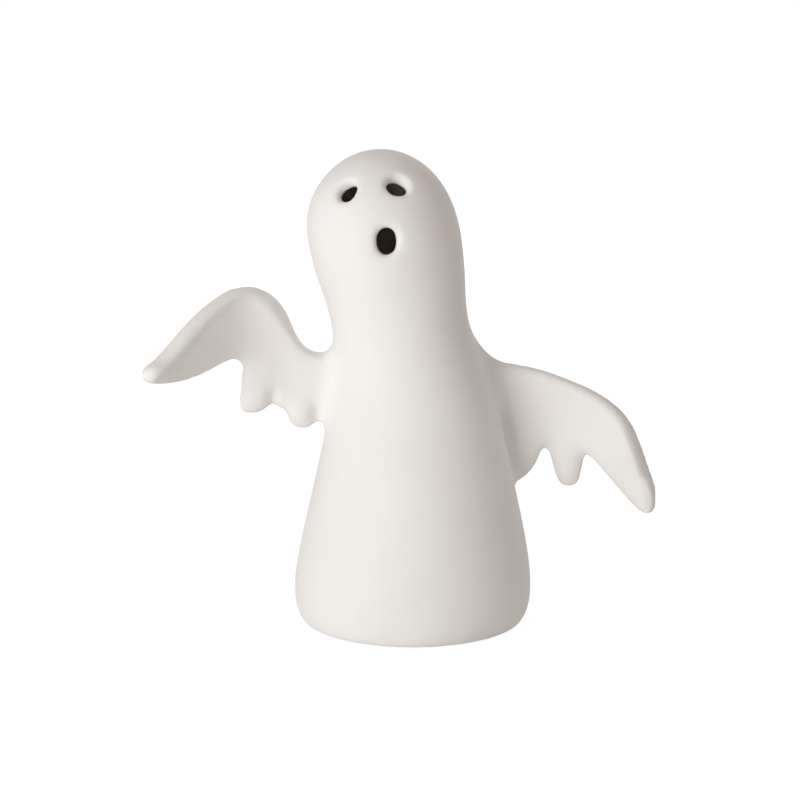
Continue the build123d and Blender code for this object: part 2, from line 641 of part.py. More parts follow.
export_step(switch_body.part, "parts/switch_body.step")

with BuildPart() as switch_slider:
    with BuildSketch(at(SWITCH_X, SLIDER_REST, FLANGE_BOTTOM - SLIDER_PROUD)):
        Rectangle(SLIDER_WIDTH, SLIDER_LENGTH)
    extrude(amount=HEAD_BOTTOM - FLANGE_BOTTOM + SLIDER_PROUD)
    with BuildSketch(at(SWITCH_X, SLIDER_REST, HEAD_BOTTOM)):
        Rectangle(SLIDER_HEAD_WIDTH, SLIDER_LENGTH)
    extrude(amount=SLIDER_HEAD_HEIGHT)
switch_slider.part.label = "switch_slider"
export_step(switch_slider.part, "parts/switch_slider.step")

with BuildPart() as lower_cell:
    with BuildSketch(at(POCKET_X, 0, LOWER_CELL_BOTTOM)):
        Circle(CELL_RADIUS)
    extrude(amount=CELL_THICKNESS - CELL_STEP)
    with BuildSketch(at(POCKET_X, 0, LOWER_CELL_BOTTOM)):
        Circle(CELL_BUTTON_RADIUS)
    extrude(amount=CELL_THICKNESS)
lower_cell.part.label = "lower_cell"
export_step(lower_cell.part, "parts/lower_cell.step")

with BuildPart() as upper_cell:
    with BuildSketch(at(POCKET_X, 0, UPPER_CELL_BOTTOM)):
        Circle(CELL_RADIUS)
    extrude(amount=CELL_THICKNESS - CELL_STEP)
    with BuildSketch(at(POCKET_X, 0, UPPER_CELL_BOTTOM)):
        Circle(CELL_BUTTON_RADIUS)
    extrude(amount=CELL_THICKNESS)
upper_cell.part.label = "upper_cell"
export_step(upper_cell.part, "parts/upper_cell.step")

with BuildPart() as negative_contact:
    with BuildSketch(Plane.XZ):
        with BuildLine() as leaf:
            Polyline(
                (POCKET_X - LEAF_SPAN - LEAF_FOOT, SPIGOT_TOP - LEAF_THICKNESS / 2),
                (POCKET_X - LEAF_SPAN, SPIGOT_TOP - LEAF_THICKNESS / 2),
                (POCKET_X, CELLS_TOP + CONTACT_GAP + LEAF_THICKNESS / 2),
                (POCKET_X + LEAF_SPAN, SPIGOT_TOP - LEAF_THICKNESS / 2),
                (POCKET_X + LEAF_SPAN + LEAF_FOOT, SPIGOT_TOP - LEAF_THICKNESS / 2),
            )
        trace(leaf.line, LEAF_THICKNESS)
    extrude(amount=LEAF_WIDTH / 2, both=True)
negative_contact.part.label = "negative_contact"
export_step(negative_contact.part, "parts/negative_contact.step")

with BuildPart() as positive_contact:
    with BuildSketch(Plane.YZ.offset(POCKET_X)):
        with BuildLine() as strip:
            Polyline(
                (STRIP_Y, SPIGOT_TOP),
                (STRIP_Y, STRIP_TOUCH + STRIP_BEND),
                (CELL_RADIUS + CONTACT_GAP + STRIP_THICKNESS / 2, STRIP_TOUCH),
                (CELL_RADIUS + CONTACT_GAP + STRIP_THICKNESS, STRIP_TOUCH - STRIP_LIP),
            )
        trace(strip.line, STRIP_THICKNESS)
    extrude(amount=STRIP_WIDTH / 2, both=True)
positive_contact.part.label = "positive_contact"
export_step(positive_contact.part, "parts/positive_contact.step")

with BuildPart() as battery_door:
    with BuildSketch(at(POCKET_X, 0, FLANGE_BOTTOM)):
        Circle(DOOR_RADIUS)
    extrude(amount=DOOR_PLATE)
    with BuildSketch(at(POCKET_X, 0, DOOR_TOP)):
        Circle(DOOR_RADIUS)
        Circle(POCKET_RADIUS, mode=Mode.SUBTRACT)
    extrude(amount=DOOR_SKIRT_HEIGHT)
    for lug in range(LUG_COUNT):
        middle = lug * 360 / LUG_COUNT
        wing = sector(at(POCKET_X, 0, LUG_BOTTOM), POCKET_RADIUS, LUG_RADIUS, middle, LUG_ANGLE)
        extrude(wing, amount=LUG_HEIGHT)
    with BuildSketch(at(POCKET_X, 0, FLANGE_BOTTOM)):
        SlotOverall(COIN_SLOT_LENGTH, COIN_SLOT_WIDTH, rotation=90)
    extrude(amount=COIN_SLOT_DEPTH, mode=Mode.SUBTRACT)
battery_door.part.label = "battery_door"
export_step(battery_door.part, "parts/battery_door.step")

with BuildPart() as housing_screws:
    with BuildSketch(Plane.XY.offset(SCREW_SEAT - SCREW_HEAD_HEIGHT)):
        with Locations(*SCREW_AT):
            Circle(SCREW_HEAD_RADIUS)
    extrude(amount=SCREW_HEAD_HEIGHT)
    with BuildSketch(Plane.XY.offset(SCREW_SEAT)):
        with Locations(*SCREW_AT):
            Circle(SCREW_RADIUS)
    extrude(amount=SCREW_LENGTH)
    with BuildSketch(Plane.XY.offset(SCREW_SEAT - SCREW_HEAD_HEIGHT)):
        with Locations(*SCREW_AT):
            Rectangle(CROSS_LENGTH, CROSS_WIDTH)
            Rectangle(CROSS_WIDTH, CROSS_LENGTH)
    extrude(amount=CROSS_DEPTH, mode=Mode.SUBTRACT)
housing_screws.part.label = "housing_screws"
export_step(housing_screws.part, "parts/housing_screws.step")
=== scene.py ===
"""Ceramic ghost with a plug-in battery light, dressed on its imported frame."""
from math import cos, hypot, pi, radians, sin

import bmesh
import bpy
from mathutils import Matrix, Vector
from mathutils.bvhtree import BVHTree
from mathutils.geometry import intersect_point_line


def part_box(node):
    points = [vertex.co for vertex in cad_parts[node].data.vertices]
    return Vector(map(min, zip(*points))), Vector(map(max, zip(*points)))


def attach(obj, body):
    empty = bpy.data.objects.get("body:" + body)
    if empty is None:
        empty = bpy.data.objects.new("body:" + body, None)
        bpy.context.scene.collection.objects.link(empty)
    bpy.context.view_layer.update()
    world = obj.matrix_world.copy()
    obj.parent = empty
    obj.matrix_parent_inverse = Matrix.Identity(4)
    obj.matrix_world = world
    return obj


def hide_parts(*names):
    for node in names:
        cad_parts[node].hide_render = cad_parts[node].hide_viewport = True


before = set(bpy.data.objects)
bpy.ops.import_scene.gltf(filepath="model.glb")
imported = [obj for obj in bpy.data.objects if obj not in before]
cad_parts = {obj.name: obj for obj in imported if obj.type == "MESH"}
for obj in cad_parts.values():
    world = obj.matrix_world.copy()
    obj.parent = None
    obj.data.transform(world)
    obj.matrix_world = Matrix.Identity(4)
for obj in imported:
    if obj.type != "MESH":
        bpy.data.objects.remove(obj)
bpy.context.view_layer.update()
MM = 0.001


def placed(name, data):
    """A new object in the scene, at the origin."""
    thing = bpy.data.objects.new(name, data)
    bpy.context.scene.collection.objects.link(thing)
    return thing


# What the finishes are made of

# Values of the soft noise between which a finish goes from one look to the other
NOISE_SPAN = (0.3, 0.7)


def blank_finish(name):
    """A new material, its shader and the place on the piece in its own coordinates."""
    finish = bpy.data.materials.new(name)
    finish.use_nodes = True
    tree = finish.node_tree
    shader = tree.nodes["Principled BSDF"]
    place = tree.nodes.new("ShaderNodeTexCoord").outputs["Object"]
    return finish, tree, shader, place


def cloud(tree, place, size_mm, detail=2.0, rough=0.5):
    """Soft noise whose blotches are about this wide."""
    texture = tree.nodes.new("ShaderNodeTexNoise")
    texture.inputs["Scale"].default_value = 1 / (size_mm * MM)
    texture.inputs["Detail"].default_value = detail
    texture.inputs["Roughness"].default_value = rough
    tree.links.new(place, texture.inputs["Vector"])
    return texture.outputs["Fac"]


def stretched(tree, place, scale):
    """The place, scaled along each axis, so that a pattern runs as brush lines."""
    mapping = tree.nodes.new("ShaderNodeMapping")
    mapping.inputs["Scale"].default_value = scale
    tree.links.new(place, mapping.inputs["Vector"])
    return mapping.outputs["Vector"]


def level(tree, place, axis):
    """One coordinate of the place."""
    split = tree.nodes.new("ShaderNodeSeparateXYZ")
    tree.links.new(place, split.inputs[0])
    return split.outputs[axis]


def ranged(tree, amount, low, high, new_low, new_high):
    """A value taken from one range to another, held at the ends."""
    fit = tree.nodes.new("ShaderNodeMapRange")
    for socket, value in zip(("From Min", "From Max", "To Min", "To Max"), (low, high, new_low, new_high)):
        fit.inputs[socket].default_value = value
    tree.links.new(amount, fit.inputs["Value"])
    return fit.outputs["Result"]


def combined(tree, operation, first, second):
    """Two values put through one operation."""
    result = tree.nodes.new("ShaderNodeMath")
    result.operation = operation
    tree.links.new(first, result.inputs[0])
    tree.links.new(second, result.inputs[1])
    return result.outputs[0]


def shades(tree, amount, dark, light, span=NOISE_SPAN):
    """A colour that goes from dark to light over this span of the amount."""
    ramp = tree.nodes.new("ShaderNodeValToRGB")
    for element, position, colour in zip(ramp.color_ramp.elements, span, (dark, light)):
        element.position = position
        element.color = (*colour, 1)
    tree.links.new(amount, ramp.inputs["Fac"])
    return ramp.outputs["Color"]


def blended(tree, share, first, second):
    """Two colours, mixed by a share."""
    mix = tree.nodes.new("ShaderNodeMix")
    mix.data_type = "RGBA"
    tree.links.new(share, mix.inputs[0])
    for value, socket in ((first, mix.inputs[6]), (second, mix.inputs[7])):
        if isinstance(value, tuple):
            socket.default_value = (*value, 1)
        else:
            tree.links.new(value, socket)
    return mix.outputs[2]


def mixed(tree, share, first, second):
    """Two shaders, mixed by a share."""
    mix = tree.nodes.new("ShaderNodeMixShader")
    for source, socket in zip((share, first, second), mix.inputs):
        tree.links.new(source, socket)
    return mix.outputs[0]


def coloured(tree, shader, amount, dark, light):
    """A base colour that varies with the amount."""
    tree.links.new(shades(tree, amount, dark, light), shader.inputs["Base Color"])


def dulled(tree, shader, amount, least, most):
    """A roughness that varies with the amount."""
    tree.links.new(ranged(tree, amount, *NOISE_SPAN, least, most), shader.inputs["Roughness"])


def relief(tree, shader, *heights):
    """Bumps on the surface, each (height field, depth in millimetres, strength), one on the other."""
    normal = None
    for height, depth, strength in heights:
        bump = tree.nodes.new("ShaderNodeBump")
        bump.inputs["Distance"].default_value = depth * MM
        bump.inputs["Strength"].default_value = strength
        tree.links.new(height, bump.inputs["Height"])
        if normal:
            tree.links.new(normal, bump.inputs["Normal"])
        normal = bump.outputs["Normal"]
    tree.links.new(normal, shader.inputs["Normal"])


# Finishes

CLAY_DARK = (0.868, 0.838, 0.806)
CLAY_LIGHT = (0.886, 0.862, 0.833)
CLAY_SPAN = (0.35, 0.65)
# Painted shade: the inside of the hollow is darker and browner than the clay, standing in for the warm shade within
# it
INNER_PAINTED_SHADE = (0.70, 0.61, 0.51)
# Iron specks: how far apart they may be, their soft edge as shares of that, and the share of them that shows
SPECK_TONE = (0.30, 0.24, 0.19)
SPECK_SPACING = 17 * MM
SPECK_EDGE = (0.013, 0.022)
SPECK_SHARE = (0.12, 0.13)
TINNED_WIRE = (0.62, 0.61, 0.58)
# Width of the change from a cast body to its bare wires, in millimetres
WIRE_EDGE = 0.02


def bisque():
    """Unglazed clay: a warm, uneven white with a fine tooth, a few iron specks, and painted shade that makes the
    inside wall darker and browner.
    """
    finish, tree, shader, place = blank_finish("bisque clay")
    tone = shades(tree, cloud(tree, place, 26, detail=3.0), CLAY_DARK, CLAY_LIGHT, CLAY_SPAN)
    inner_wall = tree.nodes.new("ShaderNodeAttribute")
    inner_wall.attribute_name = "inner_wall"
    # Painted shade: the inner wall is blended to a darker, browner tone
    tone = blended(tree, inner_wall.outputs["Fac"], tone, INNER_PAINTED_SHADE)
    dots = tree.nodes.new("ShaderNodeTexVoronoi")
    dots.inputs["Scale"].default_value = 1 / SPECK_SPACING
    tree.links.new(place, dots.inputs["Vector"])
    spot = ranged(tree, dots.outputs["Distance"], *SPECK_EDGE, 1.0, 0.0)
    shown = ranged(tree, level(tree, dots.outputs["Color"], 0), *SPECK_SHARE, 1.0, 0.0)
    speck = combined(tree, "MULTIPLY", spot, shown)
    tree.links.new(blended(tree, speck, tone, SPECK_TONE), shader.inputs["Base Color"])
    dulled(tree, shader, cloud(tree, place, 9), 0.62, 0.74)
    shader.inputs["Specular IOR Level"].default_value = 0.3
    relief(tree, shader, (cloud(tree, place, 11, detail=1.0), 0.35, 0.10),
           (cloud(tree, place, 0.9, detail=3.0), 0.06, 0.22))
    return finish


def moulded(name, dark, light):
    """Moulded plastic with the even, fine grain of a spark-cut mould."""
    finish, tree, shader, place = blank_finish(name)
    coloured(tree, shader, cloud(tree, place, 14), dark, light)
    dulled(tree, shader, cloud(tree, place, 5), 0.42, 0.55)
    relief(tree, shader, (cloud(tree, place, 0.35), 0.03, 0.35))
    return finish


def felt():
    """Pressed wool: dark, fibrous and without shine."""
    finish, tree, shader, place = blank_finish("pressed felt")
    fibres = cloud(tree, stretched(tree, place, (1.0, 0.3, 1.0)), 0.35, detail=6.0, rough=0.7)
    coloured(tree, shader, fibres, (0.10, 0.095, 0.09), (0.23, 0.22, 0.21))
    dulled(tree, shader, fibres, 0.88, 1.0)
    shader.inputs["Sheen Weight"].default_value = 0.3
    shader.inputs["Specular IOR Level"].default_value = 0.1
    relief(tree, shader, (fibres, 0.25, 0.8), (cloud(tree, place, 1.6), 0.2, 0.5))
    return finish


def silicone():
    """Soft grey-white silicone with a faint bloom."""
    finish, tree, shader, place = blank_finish("silicone rubber")
    coloured(tree, shader, cloud(tree, place, 7), (0.66, 0.66, 0.64), (0.74, 0.74, 0.72))
    dulled(tree, shader, cloud(tree, place, 1.4, detail=3.0), 0.36, 0.52)
    shader.inputs["Subsurface Weight"].default_value = 0.1
    shader.inputs["Subsurface Scale"].default_value = 0.8 * MM
    relief(tree, shader, (cloud(tree, place, 0.6), 0.02, 0.3))
    return finish


def frosted():
    """Satin acrylic that lets the lamp show as a glow."""
    finish, tree, shader, place = blank_finish("frosted acrylic")
    coloured(tree, shader, cloud(tree, place, 6), (0.90, 0.90, 0.88), (0.95, 0.95, 0.93))
    dulled(tree, shader, cloud(tree, place, 0.5, detail=3.0), 0.42, 0.58)
    shader.inputs["Transmission Weight"].default_value = 0.75
    shader.inputs["IOR"].default_value = 1.49
    relief(tree, shader, (cloud(tree, place, 0.3), 0.02, 0.4))
    return finish


def wire_and(name, axis, levels, dark, light, gloss, clear=0.0):
    """A cast body with bare wires: its own finish between two levels in millimetres, tinned metal outside them."""
    finish, tree, shader, place = blank_finish(name)
    along = level(tree, place, axis)
    start, end = levels
    above = ranged(tree, along, (start - WIRE_EDGE) * MM, start * MM, 0.0, 1.0)
    below = ranged(tree, along, end * MM, (end + WIRE_EDGE) * MM, 1.0, 0.0)
    cast = combined(tree, "MULTIPLY", above, below)
    body = shades(tree, cloud(tree, place, 2.2), dark, light)
    tree.links.new(blended(tree, cast, TINNED_WIRE, body), shader.inputs["Base Color"])
    tree.links.new(ranged(tree, cast, 0.0, 1.0, 1.0, 0.0), shader.inputs["Metallic"])
    dulled(tree, shader, cloud(tree, place, 0.8), *gloss)
    if clear:
        tree.links.new(ranged(tree, cast, 0.0, 1.0, 0.0, clear), shader.inputs["Transmission Weight"])
    relief(tree, shader, (cloud(tree, place, 0.4), 0.01, 0.2))
    return finish


def board_laminate():
    """Green solder mask over lighter tracks, with the weave of the glass cloth."""
    finish, tree, shader, place = blank_finish("board laminate")
    weave = tree.nodes.new("ShaderNodeTexWave")
    weave.inputs["Scale"].default_value = 1 / (1.2 * MM)
    weave.inputs["Distortion"].default_value = 1.5
    tree.links.new(place, weave.inputs["Vector"])
    mask = shades(tree, cloud(tree, place, 5, detail=3.0), (0.012, 0.12, 0.045), (0.02, 0.18, 0.07))
    tracks = tree.nodes.new("ShaderNodeTexBrick")
    tracks.inputs["Scale"].default_value = 1 / (9 * MM)
    tracks.inputs["Mortar Size"].default_value = 0.03
    tree.links.new(place, tracks.inputs["Vector"])
    tree.links.new(blended(tree, tracks.outputs["Fac"], mask, (0.05, 0.27, 0.11)), shader.inputs["Base Color"])
    dulled(tree, shader, cloud(tree, place, 2), 0.25, 0.4)
    relief(tree, shader, (weave.outputs["Fac"], 0.01, 0.3))
    return finish


def metal(name, dark, light, brush):
    """Metal with brush lines along one way."""
    finish, tree, shader, place = blank_finish(name)
    lines = cloud(tree, stretched(tree, place, brush), 1.0, detail=4.0, rough=0.6)
    coloured(tree, shader, lines, dark, light)
    dulled(tree, shader, lines, 0.22, 0.38)
    shader.inputs["Metallic"].default_value = 1.0
    relief(tree, shader, (lines, 0.01, 0.25))
    return finish


# Clay skin of the body and both arms

ARM_NODES = ("raised_arm", "lowered_arm")
SKIN_GRID = 1.13 * MM
SAME_PLACE = 0.001 * MM
# Passes of the sponge over all the clay, then over what lies further than this from the body
SPONGED_ALL = 4
SPONGED_ARMS = 3
ARMS_FROM = 1.5 * MM

# Floor hole and recess that the light slides in, and the room that the clay leaves in them
SEAT_RADIUS = 23.0 * MM
RECESS_RADIUS = 27.5 * MM
FOOT_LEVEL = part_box("body_shell")[0].z
RECESS_LEVEL = FOOT_LEVEL + 3.0 * MM
FLOOR_LEVEL = FOOT_LEVEL + 7.5 * MM
SEAT_MARGIN = 1 * MM
SEAT_ROOM = 0.05 * MM
RECESS_ROOM = 0.02 * MM
# Soft step between the two: how far it goes down into the recess and out from the hole
STEP_DROP = 0.5 * MM
STEP_WIDTH = 0.6 * MM

# Middle line of the hollow, which leans by this much between these levels
HEAD_LEAN = -12.6 * MM
LEAN_LEVELS = (74 * MM, 166 * MM)
# A ray out of the inner wall starts past its own surface and meets the outside of the wall further on than this
RAY_START = 1.2 * MM
WALL_LEAST = 2 * MM
INNER_FROM = FLOOR_LEVEL - 2 * MM

# Wet clay drawn over the joints: shares of its half width, each with the passes of the sponge
LUTE_PASSES = ((1.0, 40), (0.8, 30), (0.6, 30), (1.0, 8), (1.4, 8))
LUTE_FURTHEST = 18 * MM
RAISED_JOINT = 4.5 * MM
# At the lowered arm the half width grows above each of these levels by this share of the height, up to a limit
LOWERED_JOINT = ((60 * MM, 0.06), (80 * MM, 0.75))
LOWERED_JOINT_LIMIT = 11 * MM

# Presses of a round tool in millimetres: middle, way out of the clay, reach and depth
TOOL_MARKS = (
    ((-25.0, -19.8, 166.2), (-0.25, -0.95, 0.17), 5.6, 2.3),  # eye on the viewer's left
    ((-6.4, -20.6, 168.2), (0.1, -0.97, 0.17), 6.0, 2.1),  # eye on the viewer's right
    ((-10.6, -28.6, 148.4), (-0.1, -0.98, 0.17), 8.5, 0.7),  # mouth
    ((-53.4, -8.2, 88.6), (0, -1, 0), 4.5, 0.9),  # folds of the raised arm
    ((-43.5, -6.5, 83.0), (0, -1, 0), 7.0, -1.6),
    ((-36.3, -5.8, 81.5), (0, -1, 0), 5.0, 1.6),
)
# Line drawn with a tool down the front of the lowered arm's joint, in millimetres
JOINT_LINE = ((33.8, 2.4, 88.0), (37.8, 2.4, 56.0))
JOINT_LINE_OUT = (0.4, -0.92, 0)
JOINT_LINE_REACH = 3.4
JOINT_LINE_DEPTH = 1.9

# Front of each arm as the thumb worked it, in millimetres, near the body and near the tip: the width of the rim along
# its upper edge, the width of the step behind it, how far the face goes in and how far the rim is pressed back
THUMBED = {
    "raised_arm": ((1.0, 2.4, -0.5, 2.4), (2.9, 1.6, 1.2, 0.0)),
    "lowered_arm": ((2.4, 1.6, 0.8, 0.0), (2.0, 1.6, 0.8, 0.0)),
}
# Shares of each arm's reach between which the work near the body goes over into the work near the tip
THUMBED_CHANGE = (0.46, 0.7)
# How far to the front the clay has to look, and how far it has to be from the body, for none and for all of the work
FACE_TURN = (0.2, 0.7)
FACE_CLEAR = (1.5 * MM, 9 * MM)
RIM_TURN = (0, 0.4)
RIM_CLEAR = (0, 4 * MM)
# Clay this close to an arm is worked with it, and the arm's front is square to its upper edge over this half span
ARM_REACH = 2.5 * MM
EDGE_SPAN = 9 * MM
# Upper edge of an arm: width of the slots along it, the depth of clay that counts as the top of a slot, and smoothing
EDGE_SLOT = 3 * MM
EDGE_TOP = 0.4 * MM
EDGE_PASSES = 4


def rough_clay():
    """Body and arms joined into one closed skin on an even grid."""
    clay = bmesh.new()
    for node in ("body_shell", *ARM_NODES):
        clay.from_mesh(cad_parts[node].data)
    bmesh.ops.remove_doubles(clay, verts=clay.verts, dist=SAME_PLACE)
    mesh = bpy.data.meshes.new("rough clay")
    clay.to_mesh(mesh)
    clay.free()
    lump = placed("rough clay", mesh)
    grid = lump.modifiers.new("even grid", "REMESH")
    grid.mode = "VOXEL"
    grid.voxel_size = SKIN_GRID
    grid.adaptivity = 0
    bpy.context.view_layer.update()
    skin = bmesh.new()
    skin.from_object(lump, bpy.context.evaluated_depsgraph_get())
    bpy.data.objects.remove(lump)
    return skin


def smooth(skin, verts, times):
    """Wet-sponged clay: each point drawn towards its neighbours."""
    for _ in range(times):
        bmesh.ops.smooth_vert(skin, verts=verts, factor=0.5, use_axis_x=True, use_axis_y=True, use_axis_z=True)


def surface_of(node):
    """The built surface of a piece, to measure from."""
    form = bmesh.new()
    form.from_mesh(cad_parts[node].data)
    surface = BVHTree.FromBMesh(form)
    form.free()
    return surface


def near(surface, place, reach):
    """Whether a place is this close to a built surface."""
    return surface.find_nearest(place, reach)[0] is not None


def eased(value, start, end):
    """A share that goes softly from 0 at the start to 1 at the end."""
    share = min(max((value - start) / (end - start), 0), 1)
    return share * share * (3 - 2 * share)


def mark_inner_wall(skin, body):
    """Points with the body's own wall outside of them, which get the painted shade of the inside."""
    inner_wall = skin.verts.layers.float.new("inner_wall")
    for vert in skin.verts:
        lean = HEAD_LEAN * eased(vert.co.z, *LEAN_LEVELS)
        out = (vert.co - Vector((lean, 0, vert.co.z))).normalized()
        wall = body.ray_cast(vert.co + out * RAY_START, out)[3]
        if wall and wall > WALL_LEAST and vert.co.z > INNER_FROM:
            vert[inner_wall] = 1


def upper_edge(node):
    """Smooth line of places along the upper edge of an arm, from the lowest x to the highest."""
    slots = {}
    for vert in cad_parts[node].data.vertices:
        slots.setdefault(round(vert.co.x / EDGE_SLOT), []).append(vert.co)
    edge = []
    for slot in sorted(slots):
        top = max(place.z for place in slots[slot])
        highest = [place for place in slots[slot] if place.z > top - EDGE_TOP]
        edge.append(sum(highest, Vector()) / len(highest))
    for _ in range(EDGE_PASSES):
        edge[1:-1] = [(before + 2 * place + after) / 4 for before, place, after in zip(edge, edge[1:], edge[2:])]
    return edge


def edge_at(edge, across):
    """The place on an arm's upper edge at this x, held at its ends."""
    for start, end in zip(edge, edge[1:]):
        if across < end.x:
            break
    return start.lerp(end, min(max((across - start.x) / (end.x - start.x), 0), 1))


def edge_drop(edge, place, front):
    """How far below an arm's upper edge a place lies, whatever its depth behind the front."""
    closest = None
    for start, end in zip(edge, edge[1:]):
        share = min(max(intersect_point_line(place, start, end)[1], 0), 1)
        away = place - start.lerp(end, share)
        if closest is None or away.length < closest.length:
            closest = away
    return (closest - front * closest.dot(front)).length


def thumb_face(skin, body, arm, node):
    """The front face of an arm worked with the thumb below its upper rim, less and less towards the body."""
    edge = upper_edge(node)
    near_work, far_work = THUMBED[node]
    reach = max(abs(place.x) for place in edge)
    skin.normal_update()
    moves = []
    for vert in skin.verts:
        if not near(arm, vert.co, ARM_REACH):
            continue
        along = edge_at(edge, vert.co.x + EDGE_SPAN) - edge_at(edge, vert.co.x - EDGE_SPAN)
        front = Vector((along.y, -along.x, 0)).normalized()
        far = eased(abs(vert.co.x) / reach, *THUMBED_CHANGE)
        rim, step, depth, bevel = (value + (other - value) * far for value, other in zip(near_work, far_work))
        rim_end, step_end = rim * MM, (rim + step) * MM
        drop = edge_drop(edge, vert.co, front)
        facing = vert.normal.dot(front)
        away = body.find_nearest(vert.co)[3]
        push = depth * eased(drop, rim_end, step_end) * eased(facing, *FACE_TURN) * eased(away, *FACE_CLEAR)
        push += bevel * max(1 - drop / step_end, 0) * eased(facing, *RIM_TURN) * eased(away, *RIM_CLEAR)
        moves.append((vert, front * (-push * MM)))
    for vert, move in moves:
        vert.co += move
    smooth(skin, [vert for vert, move in moves if move.length > 0], 1)


def lowered_joint(height):
    """Half the width of the wet clay at the lowered arm's joint: a thin line below, a broad sweep at the shoulder."""
    return min(sum(max(height - start, 0) * share for start, share in LOWERED_JOINT), LOWERED_JOINT_LIMIT)


def lute(skin, body, arm, half_width):
    """Wet clay drawn over the joint between the body and an arm, as wide as the height asks, then feathered."""
    around = [vert for vert in skin.verts if near(arm, vert.co, LUTE_FURTHEST)]
    for share, times in LUTE_PASSES:
        joint = [vert for vert in around if near(arm, vert.co, share * half_width(vert.co.z))
                 and near(body, vert.co, share * half_width(vert.co.z))]
        smooth(skin, joint, times)


def press_dish(skin, centre, outwards, reach, depth):
    """Clay pressed in by a round tool, deepest in the middle."""
    centre = Vector(centre) * MM
    push = -depth * MM * Vector(outwards).normalized()
    for vert in skin.verts:
        share = 1 - (vert.co - centre).length_squared / (reach * MM) ** 2
        if share > 0:
            vert.co += push * share * share


def press_line(skin, start, end, outwards, reach, depth):
    """Clay pressed in along a line, deepest half way along it."""
    start, end = Vector(start) * MM, Vector(end) * MM
    push = -depth * MM * Vector(outwards).normalized()
    for vert in skin.verts:
        spot, along = intersect_point_line(vert.co, start, end)
        share = 1 - (vert.co - spot).length_squared / (reach * MM) ** 2
        if share > 0 and 0 < along < 1:
            vert.co += push * share * share * 4 * along * (1 - along)


def keep_light_seat(skin):
    """The floor hole and its recess keep the room that the light slides in, and the foot stays flat."""
    for vert in skin.verts:
        reach = hypot(vert.co.x, vert.co.y)
        if vert.co.z < FLOOR_LEVEL + SEAT_MARGIN and reach < RECESS_RADIUS + SEAT_MARGIN:
            if vert.co.z < RECESS_LEVEL - STEP_DROP:
                keep = RECESS_RADIUS
            else:
                keep = SEAT_RADIUS + SEAT_ROOM
                if reach > SEAT_RADIUS + STEP_WIDTH:
                    vert.co.z = max(vert.co.z, RECESS_LEVEL + RECESS_ROOM)
            if reach < keep:
                vert.co.x *= keep / reach
                vert.co.y *= keep / reach
        if vert.co.z < FOOT_LEVEL:
            vert.co.z = FOOT_LEVEL


def clay_skin():
    """One fired skin: sponged all over, most where the arms were luted on."""
    skin = rough_clay()
    body, raised, lowered = map(surface_of, ("body_shell", *ARM_NODES))
    smooth(skin, skin.verts, SPONGED_ALL)
    mark_inner_wall(skin, body)
    smooth(skin, [vert for vert in skin.verts if not near(body, vert.co, ARMS_FROM)], SPONGED_ARMS)
    thumb_face(skin, body, raised, "raised_arm")
    thumb_face(skin, body, lowered, "lowered_arm")
    lute(skin, body, raised, lambda height: RAISED_JOINT)
    lute(skin, body, lowered, lowered_joint)
    for centre, outwards, reach, depth in TOOL_MARKS:
        press_dish(skin, centre, outwards, reach, depth)
    press_line(skin, *JOINT_LINE, JOINT_LINE_OUT, JOINT_LINE_REACH, JOINT_LINE_DEPTH)
    keep_light_seat(skin)
    for face in skin.faces:
        face.smooth = True
    mesh = bpy.data.meshes.new("ghost_skin")
    skin.to_mesh(mesh)
    skin.free()
    ghost = placed("ghost_skin", mesh)
    ghost.data.materials.append(bisque())
    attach(ghost, "ghost")
    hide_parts("body_shell", *ARM_NODES)


# Pieces that keep their built shape

# Levels of the lamp's lens along Z and of the resistor's lacquer along Y, in millimetres
LENS_LEVELS = (14.0, 40.0)
LACQUER_LEVELS = (-8.0, -4.0)


def dress(finish, *nodes):
    """One finish on each of these built pieces."""
    for node in nodes:
        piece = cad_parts[node]
        piece.data.materials.clear()
        piece.data.materials.append(finish)


def dress_built_pieces():
    """The felt dots and all of the light, each in its own material."""
    dress(felt(), "foot_pads")
    dress(silicone(), "grip_ring")
    dress(moulded("white housing", (0.74, 0.73, 0.70), (0.80, 0.79, 0.76)), "light_base", "light_cap", "battery_door")
    dress(frosted(), "light_dome")
    lens_tones = (0.93, 0.86, 0.62), (0.96, 0.90, 0.70)
    dress(wire_and("lamp lens", 2, LENS_LEVELS, *lens_tones, gloss=(0.04, 0.1), clear=0.8), "led_lamp")
    dress(board_laminate(), "circuit_board")
    dress(moulded("chip epoxy", (0.012, 0.012, 0.012), (0.03, 0.03, 0.03)), "timer_chip")
    lacquer_tones = (0.48, 0.33, 0.19), (0.60, 0.44, 0.27)
    dress(wire_and("resistor lacquer", 1, LACQUER_LEVELS, *lacquer_tones, gloss=(0.2, 0.32)), "resistor")
    dress(metal("switch tin", (0.50, 0.50, 0.49), (0.62, 0.62, 0.60), (3.0, 0.1, 1.0)), "switch_body")
    dress(moulded("black slider", (0.015, 0.015, 0.015), (0.035, 0.035, 0.035)), "switch_slider")
    dress(metal("cell steel", (0.56, 0.55, 0.53), (0.68, 0.67, 0.65), (3.0, 3.0, 0.2)), "lower_cell", "upper_cell")
    dress(metal("contact brass", (0.62, 0.48, 0.22), (0.74, 0.60, 0.31), (0.2, 3.0, 1.0)),
          "negative_contact", "positive_contact")
    dress(metal("screw steel", (0.54, 0.54, 0.54), (0.66, 0.66, 0.66), (2.0, 2.0, 0.3)), "housing_screws")


# Studio, in metres

SURROUND_TONE = (1, 0.92, 0.87, 1)
SURROUND_STRENGTH = 0.42
FLOOR_OPENING = 0.036
FLOOR_RADIUS = 4.0
FLOOR_SIDES = 64
FLOOR_TONE = (0.92, 0.92, 0.92, 1)
FLOOR_GLOW = 1.1
# Share of the floor's own shade that shows, and the distances from the middle between which it goes to none
SHADE_SHARE = 0.15
SHADE_FADE = (0.06, 0.3)
